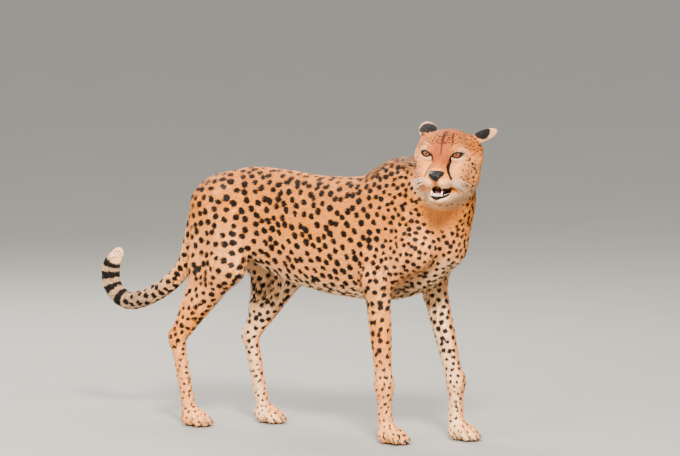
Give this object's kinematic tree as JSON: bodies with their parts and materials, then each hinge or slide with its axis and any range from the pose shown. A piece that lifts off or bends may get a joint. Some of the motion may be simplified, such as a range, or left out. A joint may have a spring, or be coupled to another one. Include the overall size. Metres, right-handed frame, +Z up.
{
  "type": "life-size cheetah model",
  "caption": "Life-size standing cheetah with spotted coat, head turned over its right shoulder, mouth slightly open and tail tip curled up.",
  "frame": {"origin": "on the floor, below the middle of the bounding box", "axes": "+X along the body towards the chest, +Y to the animal's left, +Z up"},
  "size_m": [1.24, 0.3039, 0.8283],
  "materials": {
    "coat": "short warm tan coat with solid black spots, cream underneath",
    "eye": "wet amber-brown eye with a round dark pupil",
    "nose": "black, slightly moist nose leather",
    "tongue": "moist brownish pink"
  },
  "bodies": {
    "root": {"head": "coat", "lower_jaw": "coat", "nose": "nose", "tongue": "tongue", "ear_left": "coat", "ear_right": "coat", "eye_left": "eye", "eye_right": "eye", "neck": "coat", "trunk": "coat", "tail_root": "coat", "tail_middle": "coat", "tail_tip": "coat", "front_left_leg": "coat", "front_left_wrist": "coat", "front_left_paw": "coat", "front_right_leg": "coat", "front_right_wrist": "coat", "front_right_paw": "coat", "hind_left_leg": "coat", "hind_left_foot": "coat", "hind_left_paw": "coat", "hind_right_leg": "coat", "hind_right_foot": "coat", "hind_right_paw": "coat"}
  },
  "joints": []
}
